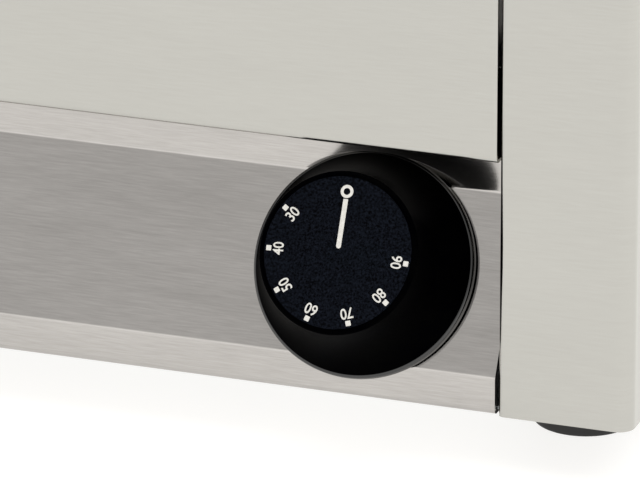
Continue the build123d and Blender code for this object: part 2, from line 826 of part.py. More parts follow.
# Lever: hub on the stem and an arm along +X while the valve is shut
with BuildPart() as drain_lever:
    with BuildSketch(Plane((drain_offset, y_ball, z_lever))):
        Circle(2 * stem_radius + sheet)
        with Locations((lever_length / 2, 0)):
            SlotOverall(lever_length + lever_width, lever_width)
        Circle(stem_radius + shaft_slack, mode=Mode.SUBTRACT)
    extrude(amount=lever_thickness)
save(drain_lever.part, "drain_lever")
nut_plane = Plane((drain_offset, y_ball, z_lever + lever_thickness))
lever_nut = hex_nut(nut_plane, lever_nut_across, stem_rise / 3, stem_radius + shaft_slack)
save(lever_nut, "lever_nut")
with BuildPart() as lever_grip:
    with BuildSketch(Plane((drain_offset, y_ball, z_lever - sheet))):
        with Locations(((grip_start + lever_length + lever_width / 2 + sheet) / 2, 0)):
            SlotOverall(
                lever_length + lever_width / 2 + sheet - grip_start, lever_width + 2 * sheet
            )
    extrude(amount=lever_thickness + 2 * sheet)
    fillet(lever_grip.faces().sort_by(Axis.Z)[-1].edges(), sheet / 2)
    fillet(lever_grip.faces().sort_by(Axis.Z)[0].edges(), sheet / 2)
    add(drain_lever.part, mode=Mode.SUBTRACT)
save(lever_grip.part, "lever_grip")

# Cable inlet: gland with a dome outside the rear panel and a locknut inside
inlet_plane = Plane((inlet_offset, y_rear_panel, rear_row_height), x_dir=(1, 0, 0), z_dir=(0, 1, 0))
with BuildPart() as cable_gland:
    with BuildSketch(inlet_plane.offset(-sheet - gland_nut_height - sheet)):
        Circle(inlet_radius)
    extrude(amount=2 * sheet + gland_nut_height)
    add(crowned_hexagon(inlet_plane, inlet_across, inlet_hex_height))
    with BuildSketch(inlet_plane.offset(inlet_hex_height)):
        Circle(inlet_dome_radius)
    extrude(amount=inlet_reach - inlet_hex_height)
    fillet(cable_gland.faces().sort_by(Axis.Y)[-1].edges(), inlet_dome_round)
    with BuildSketch(inlet_plane.offset(inlet_reach)):
        Circle(inlet_bore)
    extrude(amount=-2 * inlet_reach, mode=Mode.SUBTRACT)
save(cable_gland.part, "cable_gland")
locknut_plane = inlet_plane.offset(-sheet - gland_nut_height)
gland_locknut = hex_nut(
    locknut_plane, gland_locknut_across, gland_nut_height, inlet_radius + fit
)
save(gland_locknut, "gland_locknut")

# Earth stud: a head inside, a shoulder through the rear panel and the nut, a free end
stud_plane = Plane((stud_offset, y_rear_panel, rear_row_height), x_dir=(1, 0, 0), z_dir=(0, 1, 0))
with BuildPart() as earth_stud:
    with BuildSketch(stud_plane.offset(-sheet - gland_nut_height)):
        RegularPolygon(2 * stud_radius, 6)
    extrude(amount=gland_nut_height)
    with BuildSketch(stud_plane.offset(-sheet)):
        Circle(stud_shoulder_radius)
    extrude(amount=sheet + gland_nut_height)
    with BuildSketch(stud_plane.offset(gland_nut_height)):
        Circle(stud_radius)
    extrude(amount=stud_reach - gland_nut_height)
    chamfer(earth_stud.faces().sort_by(Axis.Y)[-1].edges(), sheet / 2)
save(earth_stud.part, "earth_stud")
earth_nut = hex_nut(
    stud_plane, earth_nut_across, gland_nut_height, stud_shoulder_radius + fit
)
save(earth_nut, "earth_nut")

# Overheat cut-out: body inside, bush through the rear panel, nut and reset button
cutout_plane = Plane(
    (cutout_offset, y_rear_panel, rear_row_height), x_dir=(1, 0, 0), z_dir=(0, 1, 0)
)
button_length = cutout_bush_reach + sheet + cutout_depth / 2
with BuildPart() as safety_cutout:
    with BuildSketch(cutout_plane.offset(-sheet)):
        Circle(cutout_radius)
    extrude(amount=-cutout_depth)
    fillet(safety_cutout.faces().sort_by(Axis.Y)[0].edges(), sheet)
    with BuildSketch(cutout_plane.offset(-sheet)):
        Circle(cutout_bush_radius)
    extrude(amount=sheet + cutout_bush_reach)
    with BuildSketch(cutout_plane.offset(cutout_bush_reach)):
        Circle(button_radius + shaft_slack)
    extrude(amount=-button_length, mode=Mode.SUBTRACT)
save(safety_cutout.part, "safety_cutout")
cutout_nut = hex_nut(cutout_plane, cutout_nut_across, gland_flange, cutout_bush_radius + fit)
save(cutout_nut, "cutout_nut")
with BuildPart() as reset_button:
    with BuildSketch(cutout_plane.offset(cutout_bush_reach + button_reach)):
        Circle(button_radius)
    extrude(amount=-button_length - button_reach + button_travel + valve_gap)
    fillet(reset_button.faces().sort_by(Axis.Y)[-1].edges(), button_radius / 3)
save(reset_button.part, "reset_button")

# Terminal block on the base plate and the wiring that runs to the thermostat
y_block = y_rear - 2 * foot_inset_y
z_tray_top = z_tray + sheet
with BuildPart() as terminal_block:
    with BuildSketch(Plane.XY.offset(z_tray_top)):
        with Locations((inlet_offset, y_block)):
            RectangleRounded(block_length, block_depth, sheet)
    extrude(amount=block_height / 2)
    with BuildSketch(Plane.XY.offset(z_tray_top + block_height / 2)):
        with Locations((inlet_offset, y_block)):
            with GridLocations(block_length / block_poles, 0, block_poles, 1):
                Rectangle(block_length / block_poles - 2 * sheet, block_depth - 2 * block_step)
    extrude(amount=block_height / 2)
    with Locations((inlet_offset, y_block, z_tray_top + block_height)):
        with GridLocations(block_length / block_poles, block_depth / 2, block_poles, 2):
            Hole(block_screw_radius, depth=block_height / 2)
save(terminal_block.part, "terminal_block")
loom_end = panel_plane.from_local_coords(
    Vector(thermostat_size / 4, -thermostat_size / 4, -sheet - thermostat_depth)
)
loom_turn = panel_plane.from_local_coords(
    Vector(thermostat_size / 4, -thermostat_size / 4, -sheet - thermostat_depth - loom_exit)
)
z_loom = z_tray_top + loom_radius + sheet
loom_path = [
    loom_end,
    loom_turn,
    Vector(inlet_offset, y_leg, z_loom + loom_radius),
    Vector(inlet_offset - 2 * loom_radius, y_middle, z_loom),
    Vector(inlet_offset, y_block - 3 * block_depth, z_loom),
    Vector(inlet_offset, y_block - block_depth / 2, z_loom),
]
with BuildPart() as wiring_loom:
    with BuildLine():
        FilletPolyline(*loom_path, radius=[loom_radius * 2, *[5 * loom_radius] * 3])
    with BuildSketch(Plane(loom_end, z_dir=-panel_plane.z_dir)):
        Circle(loom_radius)
    sweep()
save(wiring_loom.part, "wiring_loom")
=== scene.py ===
"""Finishes, dial markings, small fasteners and studio for a countertop bain-marie.

The built parts come in as a fixed frame, in metres. Everything here is placed from it.
"""

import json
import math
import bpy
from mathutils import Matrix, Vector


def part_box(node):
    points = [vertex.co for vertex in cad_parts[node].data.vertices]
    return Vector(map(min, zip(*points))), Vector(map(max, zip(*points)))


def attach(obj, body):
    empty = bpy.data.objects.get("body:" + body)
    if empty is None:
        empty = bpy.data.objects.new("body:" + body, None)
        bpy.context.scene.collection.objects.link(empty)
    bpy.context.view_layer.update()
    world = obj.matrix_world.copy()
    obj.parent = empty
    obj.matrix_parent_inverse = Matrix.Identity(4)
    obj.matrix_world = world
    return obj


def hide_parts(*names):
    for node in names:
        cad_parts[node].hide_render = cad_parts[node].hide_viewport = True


bl_info = {
    "name": "Countertop Bain-Marie",
    "version": (1, 0, 0),
    "blender": (4, 5, 0),
    "location": "View3D > Sidebar > Bain-Marie",
    "description": "Finishes, dial markings, fasteners and studio for a countertop bain-marie",
    "category": "Add Mesh",
}

import bmesh
import bpy
from mathutils import Matrix, Vector

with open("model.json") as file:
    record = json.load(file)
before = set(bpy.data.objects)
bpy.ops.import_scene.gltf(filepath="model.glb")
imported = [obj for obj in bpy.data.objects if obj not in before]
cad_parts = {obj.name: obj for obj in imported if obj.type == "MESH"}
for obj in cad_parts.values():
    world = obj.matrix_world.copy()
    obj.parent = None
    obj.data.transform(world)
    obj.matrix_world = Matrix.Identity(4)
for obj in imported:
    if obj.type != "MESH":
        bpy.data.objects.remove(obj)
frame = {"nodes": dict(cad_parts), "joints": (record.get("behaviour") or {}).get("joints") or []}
bpy.ops.object.select_all(action="DESELECT")
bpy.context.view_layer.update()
NODES = frame["nodes"]
MM = 0.001
METRE = 1.0
BACK = Vector((0, 1, 0))
DOWN = Vector((0, 0, -1))

# The white walls of the studio end, and its darker room starts, at these sines of height
WALL_TOP = 0.2
ROOM_START = 0.5

# The studio in metres: the table's radius, and each softbox's sides and its place from the
# middle of the front
TABLE_RADIUS = 25.0
OVERHEAD_SIDES = (2.0, 1.6)
OVERHEAD_PLACE = Vector((0.1, -0.2, 2.2))
SIDE_SIDES = (0.6, 0.6)
SIDE_PLACE = Vector((0.96, 0.29, 1.11))

# The camera shows what lies between these distances, in metres
NEAREST = 0.05
FARTHEST = 60.0

# Facets round a turned piece and along its curves, enough that none shows close up
KNOB_FACETS = 160
FLARE_FACETS = 24
FACE_EDGE_FACETS = 6
RIM_FACETS = 8
SEAL_FACETS = 48
FASTENER_FACETS = 40
HEAD_FACETS = 8
RING_FACETS = 64
TABLE_FACETS = 96

# Facets that meet at less than this are shaded as one surface
SMOOTH_ANGLE = math.radians(30)

# Most of a noise factor lies between these
NOISE_LOW = 0.3
NOISE_HIGH = 0.7

# A face turns from upright to flat, for its scratches, between these heights of its normal
UPRIGHT_END = 0.6
FLAT_START = 0.8

# The dial's figures: how much their strokes are fattened, and the steps of their curves
FIGURE_WEIGHT = 0.012
FIGURE_STEPS = 6

# The knob turns clockwise about an axis that runs into the panel
KNOB = next(joint for joint in frame["joints"] if joint["name"] == "knob_turn")
KNOB_CENTRE = Vector(KNOB["pos_m"])
PANEL_NORMAL = -Vector(KNOB["axis"]).normalized()
PANEL_RIGHT = Vector((1, 0, 0))
PANEL_UP = PANEL_NORMAL.cross(PANEL_RIGHT)


def reach(node):
    """How far a node stands out from the sloping panel's face."""
    points = NODES[node].data.vertices
    return max((point.co - KNOB_CENTRE).dot(PANEL_NORMAL) for point in points)


def panel_frame(height):
    """The frame that lies in the sloping panel, at the knob's axis and a height above it."""
    rows = Matrix((PANEL_RIGHT, PANEL_UP, PANEL_NORMAL)).transposed().to_4x4()
    return Matrix.Translation(KNOB_CENTRE + PANEL_NORMAL * height) @ rows


def dial_place(angle, radius):
    """The frame on the dial's face at an angle from the ring and a distance from the axis."""
    turn = Matrix.Rotation(angle, 4, "Z")
    out = Matrix.Translation((0, radius, 0))
    return panel_frame(reach("dial_disc")) @ turn @ out


# Modelling


def choose(*pieces):
    """Selects these pieces alone, with the first one active."""
    bpy.ops.object.select_all(action="DESELECT")
    for piece in pieces:
        piece.select_set(True)
    bpy.context.view_layer.objects.active = pieces[0]


def add_primitive(operator, **settings):
    """Adds one primitive or text with nothing else selected, and returns it."""
    bpy.ops.object.select_all(action="DESELECT")
    operator(**settings)
    return bpy.context.active_object


def open_mesh(piece, kind):
    """Opens a piece in edit mode with nothing selected."""
    choose(piece)
    bpy.ops.object.mode_set(mode="EDIT")
    bpy.ops.mesh.select_mode(type=kind)
    bpy.ops.mesh.select_all(action="DESELECT")


def pick(piece, test):
    """Selects the vertices that pass a test, in edit mode."""
    mesh = bmesh.from_edit_mesh(piece.data)
    bpy.ops.mesh.select_all(action="DESELECT")
    for vertex in mesh.verts:
        vertex.select_set(test(vertex))
    mesh.select_flush_mode()
    bmesh.update_edit_mesh(piece.data)


def close_mesh():
    """Leaves edit mode."""
    bpy.ops.object.mode_set(mode="OBJECT")


def thicken(step):
    """Raises the flat print that is open in edit mode by a step, and closes it."""
    bpy.ops.mesh.select_mode(type="FACE")
    bpy.ops.mesh.select_all(action="SELECT")
    bpy.ops.mesh.extrude_region_move(TRANSFORM_OT_translate={"value": step})
    bpy.ops.mesh.select_all(action="SELECT")
    bpy.ops.mesh.normals_make_consistent(inside=False)
    close_mesh()


def apply_modifier(piece, kind, **settings):
    """Adds one modifier with its settings and applies it."""
    choose(piece)
    bpy.ops.object.modifier_add(type=kind)
    modifier = piece.modifiers[-1]
    for name, value in settings.items():
        setattr(modifier, name, value)
    bpy.ops.object.modifier_apply(modifier=modifier.name)


def set_place(piece, matrix):
    """Moves a piece by a matrix and puts its place into its mesh."""
    piece.matrix_world = matrix @ piece.matrix_world
    choose(piece)
    bpy.ops.object.transform_apply(location=True, rotation=True, scale=True)


def join_pieces(pieces):
    """Joins like pieces into the first one."""
    choose(*pieces)
    bpy.ops.object.join()
    return pieces[0]


def complete(piece, name, body, finish):
    """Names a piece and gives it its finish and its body."""
    choose(piece)
    bpy.ops.object.shade_smooth_by_angle(angle=SMOOTH_ANGLE)
    piece.name = name
    piece.data.name = name
    piece.data.materials.clear()
    piece.data.materials.append(FINISHES[finish])
    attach(piece, body)
    return piece


def solids_of(node):
    """The box of each solid in a node, as pairs of lowest and highest corners."""
    mesh = bmesh.new()
    mesh.from_mesh(NODES[node].data)
    bmesh.ops.remove_doubles(mesh, verts=mesh.verts, dist=MM / 100)
    boxes, seen = [], set()
    for first in mesh.verts:
        if first in seen:
            continue
        island, front = [], [first]
        seen.add(first)
        while front:
            vertex = front.pop()
            island.append(vertex.co.copy())
            for edge in vertex.link_edges:
                other = edge.other_vert(vertex)
                if other not in seen:
                    seen.add(other)
                    front.append(other)
        low = Vector([min(point[axis] for point in island) for axis in range(3)])
        high = Vector([max(point[axis] for point in island) for axis in range(3)])
        boxes.append((low, high))
    mesh.free()
    return boxes


def bowed(start, end, bulge, steps):
    """Points after start on an arc to end, which stands off its chord by bulge, to the left."""
    start, end = Vector(start), Vector(end)
    half = (end - start).length / 2
    radius = (half**2 + bulge**2) / (2 * abs(bulge))
    side = Vector((start.y - end.y, end.x - start.x)).normalized() * math.copysign(1, bulge)
    centre = (start + end) / 2 + side * (abs(bulge) - radius)
    first, last = start - centre, end - centre
    return [
        tuple(centre + first.slerp(last, step / steps) * radius) for step in range(1, steps + 1)
    ]


def turned(profile, segments, matrix):
    """A turned piece: a ring for each (radius, height) of its profile, closed at both ends.

    Where the profile comes back to its start, the last ring closes the piece instead.
    """
    radius, height = profile[0]
    piece = add_primitive(
        bpy.ops.mesh.primitive_circle_add,
        vertices=segments,
        radius=radius,
        location=(0, 0, height),
        fill_type="NOTHING",
    )
    set_place(piece, Matrix.Identity(4))
    closed = profile[0] == profile[-1]
    open_mesh(piece, "EDGE")
    bpy.ops.mesh.select_all(action="SELECT")
    if not closed:
        bpy.ops.mesh.edge_face_add()
    for next_radius, next_height in profile[1:]:
        bpy.ops.mesh.extrude_edges_move()
        share = next_radius / radius
        bpy.ops.transform.resize(value=(share, share, 1), center_override=(0, 0, height))
        bpy.ops.transform.translate(value=(0, 0, next_height - height))
        radius, height = next_radius, next_height
    if not closed:
        bpy.ops.mesh.edge_face_add()
    bpy.ops.mesh.select_all(action="SELECT")
    bpy.ops.mesh.remove_doubles(threshold=MM / 1000)
    bpy.ops.mesh.normals_make_consistent(inside=False)
    close_mesh()
    set_place(piece, matrix)
    return piece


# Materials


def colour(code):
    """Linear colour of an sRGB hex value. A colour of the settings is linear already."""
    if not isinstance(code, str):
        return tuple(code)
    parts = [int(code[start : start + 2], 16) / 255 for start in (1, 3, 5)]
    linear = [p / 12.92 if p <= 0.04045 else ((p + 0.055) / 1.055) ** 2.4 for p in parts]
    return (*linear, 1.0)


def add_node(tree, kind, settings=(), **links):
    """Adds one shader node with its settings, and links or sets its inputs.

    An input goes by its name, with _ for a space, or by its number, such as _2 for the third.
    """
    shader = tree.nodes.new(kind)
    for name, value in dict(settings).items():
        setattr(shader, name, value)
    for name, value in links.items():
        key = int(name[1:]) if name[1:].isdigit() else name.replace("_", " ")
        socket = shader.inputs[key]
        if isinstance(value, bpy.types.NodeSocket):
            tree.links.new(value, socket)
        else:
            socket.default_value = value
    return shader


def new_material(name, **surface):
    """A material with its main shader, and the tree to add its detail to."""
    material = bpy.data.materials.new(name)
    material.use_nodes = True
    tree = material.node_tree
    tree.nodes.clear()
    shader = add_node(tree, "ShaderNodeBsdfPrincipled", **surface)
    add_node(tree, "ShaderNodeOutputMaterial", Surface=shader.outputs["BSDF"])
    return material, tree, shader


def object_pattern(tree, size_mm):
    """Object coordinates divided by a pattern's size along X, Y and Z, in millimetres."""
    place = add_node(tree, "ShaderNodeTexCoord").outputs["Object"]
    scale = [METRE / (MM * size) for size in size_mm]
    return add_node(tree, "ShaderNodeMapping", Vector=place, Scale=scale).outputs["Vector"]


def grain(tree, size_mm, detail=3.0, roughness=0.6):
    """Noise whose grains have the given size along X, Y and Z, in millimetres."""
    pattern = object_pattern(tree, size_mm)
    return add_node(
        tree,
        "ShaderNodeTexNoise",
        Vector=pattern,
        Scale=1.0,
        Detail=detail,
        Roughness=roughness,
    ).outputs["Fac"]


def ramp(tree, factor, low, high, start=NOISE_LOW, end=NOISE_HIGH):
    """Colours between two, over a part of a factor's range."""
    mixer = add_node(tree, "ShaderNodeValToRGB", Fac=factor)
    for element, place, code in zip(mixer.color_ramp.elements, (start, end), (low, high)):
        element.position = place
        element.color = colour(code)
    return mixer.outputs["Color"]


def spread(tree, factor, low, high):
    """The middle range of a noise factor, mapped to a range of numbers."""
    return add_node(
        tree, "ShaderNodeMapRange", _0=factor, _1=NOISE_LOW, _2=NOISE_HIGH, _3=low, _4=high
    ).outputs["Result"]


def raise_bump(tree, shader, factor, height_mm):
    """Bumps a surface by a factor, with its height in millimetres."""
    bump = add_node(tree, "ShaderNodeBump", Height=factor, Distance=height_mm * MM)
    tree.links.new(bump.outputs["Normal"], shader.inputs["Normal"])


def brushed_grain(tree, length_mm, width_mm, detail=3.0):
    """Streaks that run level on upright faces, and along X on flat ones."""
    upright = grain(tree, (length_mm, length_mm, width_mm), detail)
    flat = grain(tree, (length_mm, width_mm, length_mm), detail)
    normal = add_node(tree, "ShaderNodeNewGeometry").outputs["Normal"]
    lift = add_node(tree, "ShaderNodeSeparateXYZ", Vector=normal).outputs["Z"]
    height = add_node(tree, "ShaderNodeMath", {"operation": "ABSOLUTE"}, _0=lift).outputs[0]
    is_flat = add_node(
        tree, "ShaderNodeMapRange", _0=height, _1=UPRIGHT_END, _2=FLAT_START
    ).outputs["Result"]
    return add_node(
        tree, "ShaderNodeMix", {"data_type": "FLOAT"}, Factor=is_flat, _2=upright, _3=flat
    ).outputs[0]


def brushed_stainless(name, low, high, roughness, bump_mm):
    """304 stainless sheet, belt brushed: fine level scratches that draw each reflection out
    upright, so that an edge beside a sheet stays crisp and one above it is lost.

    The real scratches are about 0.05 mm apart and can't show, so they are drawn at 0.45 mm.
    """
    material, tree, shader = new_material(name, Metallic=1.0, Anisotropic=0.8)
    across = add_node(tree, "ShaderNodeCombineXYZ", X=0.0, Y=0.2, Z=1.0).outputs["Vector"]
    tree.links.new(across, shader.inputs["Tangent"])
    fine = brushed_grain(tree, 9.0, 0.45)
    broad = brushed_grain(tree, 60.0, 9.0, 2.0)
    both = add_node(
        tree, "ShaderNodeMix", {"data_type": "FLOAT"}, Factor=0.35, _2=fine, _3=broad
    ).outputs[0]
    tree.links.new(ramp(tree, both, low, high), shader.inputs["Base Color"])
    rough = spread(tree, both, roughness - 0.02, roughness + 0.03)
    tree.links.new(rough, shader.inputs["Roughness"])
    raise_bump(tree, shader, fine, bump_mm)
    return material


def galvanised_steel():
    """Hot-dip galvanised sheet: flat crystals of zinc, each with its own grey."""
    material, tree, shader = new_material("galvanised_steel", Metallic=1.0)
    cells = add_node(
        tree,
        "ShaderNodeTexVoronoi",
        Vector=object_pattern(tree, (9.0, 9.0, 9.0)),
        Scale=1.0,
    ).outputs["Color"]
    shade = ramp(tree, cells, "#8E9294", "#B9BDBE", 0.1, 0.9)
    tree.links.new(shade, shader.inputs["Base Color"])
    tree.links.new(spread(tree, cells, 0.34, 0.52), shader.inputs["Roughness"])
    raise_bump(tree, shader, grain(tree, (2.0, 2.0, 2.0)), 0.02)
    return material


def plain_metal(name, low, high, roughness, size_mm, bump_mm):
    """A satin metal with a faint cloud in its colour and gloss, as handling leaves it."""
    material, tree, shader = new_material(name, Metallic=1.0)
    cloud = grain(tree, (size_mm,) * 3)
    tree.links.new(ramp(tree, cloud, low, high), shader.inputs["Base Color"])
    rough = spread(tree, cloud, roughness - 0.05, roughness + 0.07)
    tree.links.new(rough, shader.inputs["Roughness"])
    raise_bump(tree, shader, grain(tree, (size_mm / 20,) * 3), bump_mm)
    return material


def heated_sheath():
    """Nickel alloy element sheath: satin grey that water and heat have tinted straw brown."""
    material, tree, shader = new_material("nickel_alloy_sheath", Metallic=1.0)
    cloud = grain(tree, (18.0, 45.0, 18.0))
    tree.links.new(ramp(tree, cloud, "#77685A", "#A19A90"), shader.inputs["Base Color"])
    tree.links.new(spread(tree, cloud, 0.32, 0.5), shader.inputs["Roughness"])
    raise_bump(tree, shader, grain(tree, (0.8, 0.8, 0.8)), 0.015)
    return material


def moulded_plastic(name, low, high, roughness, ior, size_mm, bump_mm):
    """A moulded polymer: even colour, a fine texture from the tool and a soft gloss."""
    material, tree, shader = new_material(name, IOR=ior)
    fine = grain(tree, (size_mm,) * 3)
    tree.links.new(ramp(tree, fine, low, high), shader.inputs["Base Color"])
    cloud = grain(tree, (25.0, 25.0, 25.0))
    rough = spread(tree, cloud, roughness - 0.03, roughness + 0.05)
    tree.links.new(rough, shader.inputs["Roughness"])
    raise_bump(tree, shader, fine, bump_mm)
    return material


def phenolic(name, lustre, roughness):
    """Compression moulded phenolic: deep black, dull as moulded and clear where it is buffed."""
    material, tree, shader = new_material(name, IOR=1.6)
    shader.inputs["Specular IOR Level"].default_value = lustre
    cloud = grain(tree, (14.0, 14.0, 14.0))
    tree.links.new(ramp(tree, cloud, "#000001", "#020202"), shader.inputs["Base Color"])
    rough = spread(tree, cloud, roughness, roughness + 0.05)
    tree.links.new(rough, shader.inputs["Roughness"])
    raise_bump(tree, shader, grain(tree, (0.6, 0.6, 0.6)), 0.001)
    return material


def dial_lacquer(low, high):
    """Matt screen-printed lacquer on aluminium foil: blue black with a fine mottle.

    The grit is about 0.1 mm and is drawn at 0.7 mm, so that it shows.
    """
    material, tree, shader = new_material("dial_lacquer", Roughness=0.6, IOR=1.5)
    shader.inputs["Specular IOR Level"].default_value = 0.02
    grit = grain(tree, (0.7, 0.7, 0.7), detail=2.0, roughness=0.75)
    tree.links.new(ramp(tree, grit, low, high, 0.36, 0.7), shader.inputs["Base Color"])
    raise_bump(tree, shader, grit, 0.01)
    return material


def printing_ink(low, high):
    """White screen-printing ink: opaque, matt, very slightly uneven at its edges."""
    material, tree, shader = new_material("printing_ink", Roughness=0.55)
    cloud = grain(tree, (1.2, 1.2, 1.2))
    tree.links.new(ramp(tree, cloud, low, high), shader.inputs["Base Color"])
    raise_bump(tree, shader, grain(tree, (0.15, 0.15, 0.15)), 0.004)
    return material


def moulded_rubber():
    """EPDM foot rubber: dull black with a bloom that greys it a little."""
    material, tree, shader = new_material("epdm_rubber", IOR=1.52)
    bloom = grain(tree, (6.0, 6.0, 6.0))
    tree.links.new(ramp(tree, bloom, "#131313", "#262524"), shader.inputs["Base Color"])
    tree.links.new(spread(tree, bloom, 0.6, 0.8), shader.inputs["Roughness"])
    raise_bump(tree, shader, grain(tree, (0.3, 0.3, 0.3)), 0.03)
    return material


def woven_sleeve():
    """Silicone-coated glass sleeving: a close weave under a soft translucent coat."""
    material, tree, shader = new_material("glass_sleeving", Roughness=0.55, IOR=1.45)
    weave = add_node(
        tree,
        "ShaderNodeTexWave",
        {"bands_direction": "DIAGONAL"},
        Vector=object_pattern(tree, (1.4, 1.4, 1.4)),
        Scale=1.0,
        Distortion=0.6,
    ).outputs["Fac"]
    tree.links.new(ramp(tree, weave, "#8F897B", "#C6BFAE"), shader.inputs["Base Color"])
    raise_bump(tree, shader, weave, 0.12)
    return material


def make_finishes(shades):
    """Every finish by its name."""
    return {
        "plain_sheet": brushed_stainless("brushed_304_plain", "#B3B2AD", "#B8B7B2", 0.14, 0.001),
        "panel_sheet": brushed_stainless("brushed_304_panel", "#AAA7A4", "#BBB8B5", 0.11, 0.003),
        "drawn_sheet": plain_metal("drawn_304", "#B9B7B2", "#CCCAC6", 0.3, 60.0, 0.01),
        "galvanised": galvanised_steel(),
        "turned_stainless": plain_metal("turned_304", "#A9A6A0", "#C6C3BD", 0.26, 12.0, 0.004),
        "element_sheath": heated_sheath(),
        "copper": plain_metal("drawn_copper", "#9C5A3C", "#C27F5B", 0.3, 9.0, 0.006),
        "bright_zinc": plain_metal("bright_zinc", "#A7ABB0", "#C9CCD0", 0.22, 4.0, 0.004),
        "nickel": plain_metal("nickel_plated_brass", "#A9A393", "#C8C2B2", 0.28, 10.0, 0.01),
        "phenolic": phenolic("phenolic_moulded", 0.002, 0.3),
        "buffed_phenolic": phenolic("phenolic_buffed", 0.6, 0.05),
        "dial": dial_lacquer(shades.dial_low, shades.dial_high),
        "ink": printing_ink(shades.ink_low, shades.ink_high),
        "rubber": moulded_rubber(),
        "white_nylon": moulded_plastic(
            "polyamide_natural", "#D6D1C2", "#E2DED1", 0.45, 1.53, 0.5, 0.01
        ),
        "black_nylon": moulded_plastic(
            "polyamide_black", "#141414", "#1E1E1F", 0.42, 1.53, 0.35, 0.02
        ),
        "red_button": moulded_plastic("red_urea", "#A3140F", "#B51A13", 0.3, 1.55, 0.4, 0.004),
        "blue_grip": moulded_plastic(
            "dipped_vinyl", shades.grip_low, shades.grip_high, 0.4, 1.53, 1.5, 0.03
        ),
        "steatite": moulded_plastic("glazed_steatite", "#CBC6BA", "#DAD6CB", 0.3, 1.5, 1.0, 0.01),
        "sleeving": woven_sleeve(),
    }


# The finishes once they are made, and the built parts that each one covers
FINISHES = {}
NODE_FINISH = {
    "plain_sheet": (
        "front_apron",
        "rear_panel",
        "top_deck",
        "left_side_panel",
        "right_side_panel",
    ),
    "panel_sheet": ("control_panel",),
    "drawn_sheet": ("well_tank",),
    "galvanised": ("base_plate",),
    "turned_stainless": (
        "heater_glands",
        "heater_supports",
        "bulb_gland",
        "drain_outlet",
        "drain_pipe",
        "thermostat_bulb",
        "thermostat_shaft",
        "valve_ball",
        "valve_stem",
        "drain_lever",
        "earth_stud",
    ),
    "element_sheath": ("heating_element",),
    "copper": ("capillary_tube",),
    "bright_zinc": (
        "foot_screws",
        "base_screws",
        "front_screws",
        "rear_screws",
        "thermostat_screws",
        "lever_nut",
        "earth_nut",
        "cutout_nut",
    ),
    "nickel": ("valve_body", "drain_locknut"),
    "phenolic": ("control_knob",),
    "dial": ("dial_disc",),
    "rubber": ("foot_front_left", "foot_front_right", "foot_rear_left", "foot_rear_right"),
    "white_nylon": ("terminal_block",),
    "black_nylon": ("cable_gland", "gland_locknut", "safety_cutout"),
    "red_button": ("reset_button",),
    "blue_grip": ("lever_grip",),
    "steatite": ("thermostat_body",),
    "sleeving": ("wiring_loom",),
}


# Settings that a user would change


class ShadeSettings(bpy.types.PropertyGroup):
    """Colours that may be ordered otherwise. Each finish varies between two shades."""

    dial_low: bpy.props.FloatVectorProperty(
        name="Dial, low",
        description="Darkest shade of the dial's lacquer",
        default=colour("#000001"),
        size=4,
        subtype="COLOR",
    )
    dial_high: bpy.props.FloatVectorProperty(
        name="Dial, high",
        description="Lightest shade of the dial's lacquer",
        default=colour("#12161E"),
        size=4,
        subtype="COLOR",
    )
    ink_low: bpy.props.FloatVectorProperty(
        name="Ink, low",
        description="Darkest shade of the printing",
        default=colour("#C4C2BC"),
        size=4,
        subtype="COLOR",
    )
    ink_high: bpy.props.FloatVectorProperty(
        name="Ink, high",
        description="Lightest shade of the printing",
        default=colour("#D6D4CE"),
        size=4,
        subtype="COLOR",
    )
    grip_low: bpy.props.FloatVectorProperty(
        name="Grip, low",
        description="Darkest shade of the lever's grip",
        default=colour("#13305F"),
        size=4,
        subtype="COLOR",
    )
    grip_high: bpy.props.FloatVectorProperty(
        name="Grip, high",
        description="Lightest shade of the lever's grip",
        default=colour("#1B3D73"),
        size=4,
        subtype="COLOR",
    )


